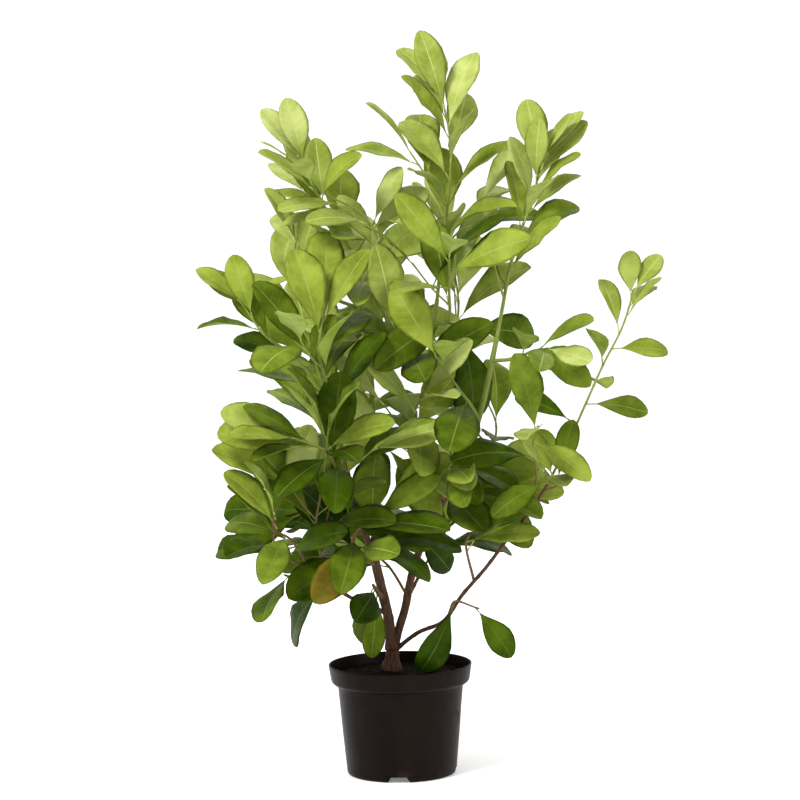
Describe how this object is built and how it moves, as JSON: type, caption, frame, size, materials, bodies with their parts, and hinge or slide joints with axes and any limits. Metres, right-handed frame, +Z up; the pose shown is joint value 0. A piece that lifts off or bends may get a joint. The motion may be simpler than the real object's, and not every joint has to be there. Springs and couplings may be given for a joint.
{
  "type": "potted cherry laurel",
  "caption": "Young evergreen cherry laurel with several upright stems and glossy oval leaves, standing in a round dark nursery pot filled with compost.",
  "frame": {"origin": "middle of the pot's flat underside, on the ground", "axes": "+Z up, -Y towards the viewer of the picture, +X to the viewer's right"},
  "size_m": [0.723, 0.7224, 1.1606],
  "materials": {
    "pot_plastic": "satin injection-moulded nursery pot, dark brown-grey",
    "compost": "moist fibrous potting compost, near black",
    "bark": "smooth reddish-brown young bark with pale pores, greener on thin limbs",
    "leaf_dark": "old laurel leaves, dark glossy green with paler matte underside",
    "leaf_mid": "grown laurel leaves, mid green, satin",
    "leaf_fresh": "young laurel leaves, fresh olive green, satin",
    "leaf_lime": "newest laurel leaves, soft lime green"
  },
  "bodies": {
    "root": {"pot": "pot_plastic", "root_ball": "compost", "trunk": "bark", "stem_left": "bark", "stem_right": "bark", "stem_left_front": "bark", "stem_left_back": "bark", "leader": "bark", "bough_low_right": "bark", "bough_low_left": "bark", "bough_rear_left": "bark", "bough_rear_right": "bark", "bough_rear_low": "bark", "leaves_top_left": "leaf_lime", "leaves_top_left_inner": "leaf_fresh", "leaves_upper_left": "leaf_lime", "leaves_back_centre": "leaf_lime", "leaves_centre_left": "leaf_fresh", "leaves_rear_left_top": "leaf_fresh", "leaves_rear_left_side": "leaf_mid", "leaves_rear_left_low": "leaf_dark", "leaves_mid_left": "leaf_mid", "leaves_mid_left_inner": "leaf_mid", "leaves_left_front": "leaf_mid", "leaves_left_rising": "leaf_mid", "leaves_left_lime": "leaf_fresh", "leaves_low_left_tip": "leaf_mid", "leaves_low_left_hanging": "leaf_dark", "leaves_low_front_left": "leaf_dark", "leaves_inner_left": "leaf_mid", "leaves_top": "leaf_fresh", "leaves_leader_front": "leaf_fresh", "leaves_leader_right": "leaf_mid", "leaves_centre_front": "leaf_fresh", "leaves_centre_low": "leaf_dark", "leaves_rear_right_top": "leaf_lime", "leaves_rear_right_side": "leaf_mid", "leaves_rear_low_right": "leaf_mid", "leaves_rear_low_left": "leaf_mid", "leaves_top_right": "leaf_fresh", "leaves_right_upper": "leaf_mid", "leaves_right_inner": "leaf_fresh", "leaves_right_front": "leaf_fresh", "leaves_right_low": "leaf_mid", "leaves_right_tip": "leaf_fresh", "leaves_right_side": "leaf_mid", "leaves_right_outer": "leaf_mid", "leaves_low_right_twig": "leaf_mid", "leaves_low_right_front": "leaf_dark"}
  },
  "joints": []
}
